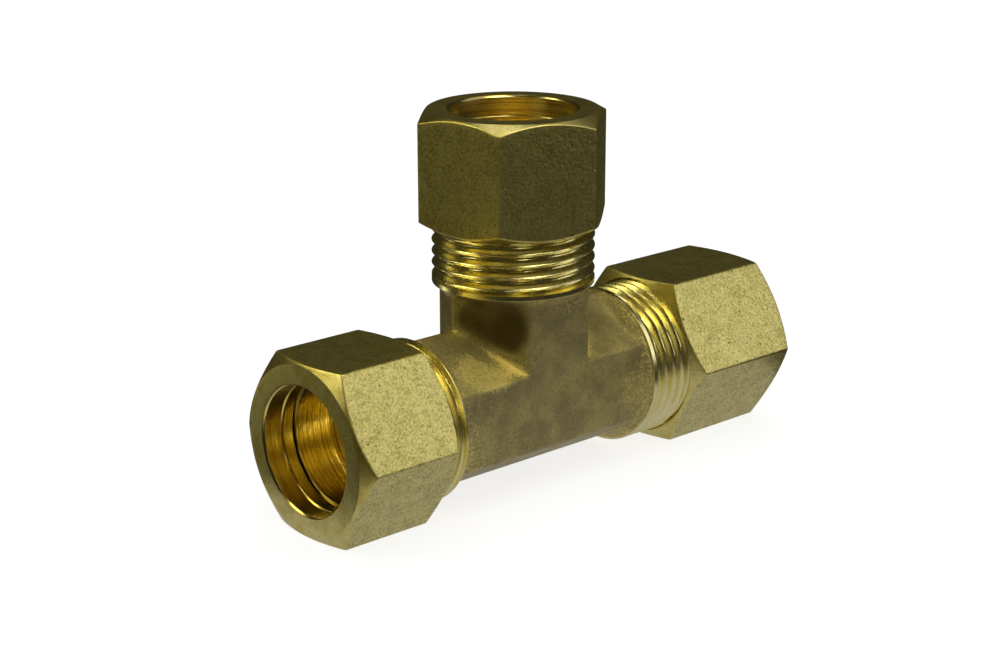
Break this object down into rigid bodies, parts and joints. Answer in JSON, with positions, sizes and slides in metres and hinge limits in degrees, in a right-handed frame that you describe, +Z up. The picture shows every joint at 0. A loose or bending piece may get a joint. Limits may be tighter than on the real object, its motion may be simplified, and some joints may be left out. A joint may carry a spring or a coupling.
{
  "type": "compression union tee",
  "caption": "Brass compression tee: a forged T body with threaded ends, and a hexagon nut and sleeve on each port for clamping a plain tube.",
  "frame": {"origin": "middle of the base, at the height of the level flats that the two run nuts stand on; the three port axes meet 13.5 mm above it and 4.3 mm towards -X", "axes": "+X along the run towards the long nut, +Z up the branch, +Y towards the back flat face"},
  "size_m": [0.0914, 0.0312, 0.0589],
  "materials": {
    "forged_body": "dull forged skin, bright where machined",
    "nut": "tumbled satin, bright bore",
    "sleeve": "machined"
  },
  "bodies": {
    "tee": {"tee_body": "forged_body"},
    "left_sleeve": {"left_sleeve": "sleeve"},
    "right_sleeve": {"right_sleeve": "sleeve"},
    "branch_sleeve": {"branch_sleeve": "sleeve"},
    "left_nut": {"left_nut": "nut"},
    "right_nut": {"right_nut": "nut"},
    "branch_nut": {"branch_nut": "nut"}
  },
  "joints": [
    {"name": "left_travel", "type": "slide", "parent": "tee", "child": "left_sleeve", "axis": [-1, 0, 0], "range_m": [-0.00174, 0.00822]},
    {"name": "left_turn", "type": "hinge", "parent": "left_sleeve", "child": "left_nut", "pos_m": [-0.0043, 0, 0.0135], "axis": [-1, 0, 0], "range_deg": [-345, 1630]},
    {"name": "right_travel", "type": "slide", "parent": "tee", "child": "right_sleeve", "axis": [1, 0, 0], "range_m": [-0.00534, 0.00456]},
    {"name": "right_turn", "type": "hinge", "parent": "right_sleeve", "child": "right_nut", "pos_m": [-0.0043, 0, 0.0135], "axis": [1, 0, 0], "range_deg": [-1060, 905]},
    {"name": "branch_travel", "type": "slide", "parent": "tee", "child": "branch_sleeve", "axis": [0, 0, 1], "range_m": [-0.00575, 0.00416]},
    {"name": "branch_turn", "type": "hinge", "parent": "branch_sleeve", "child": "branch_nut", "pos_m": [-0.0043, 0, 0.0135], "axis": [0, 0, 1], "range_deg": [-1140, 825]}
  ],
  "couplings": [
    {"joint": "left_travel", "follows": "left_turn", "m_per_rad": 0.00028875},
    {"joint": "right_travel", "follows": "right_turn", "m_per_rad": 0.00028875},
    {"joint": "branch_travel", "follows": "branch_turn", "m_per_rad": 0.00028875}
  ]
}
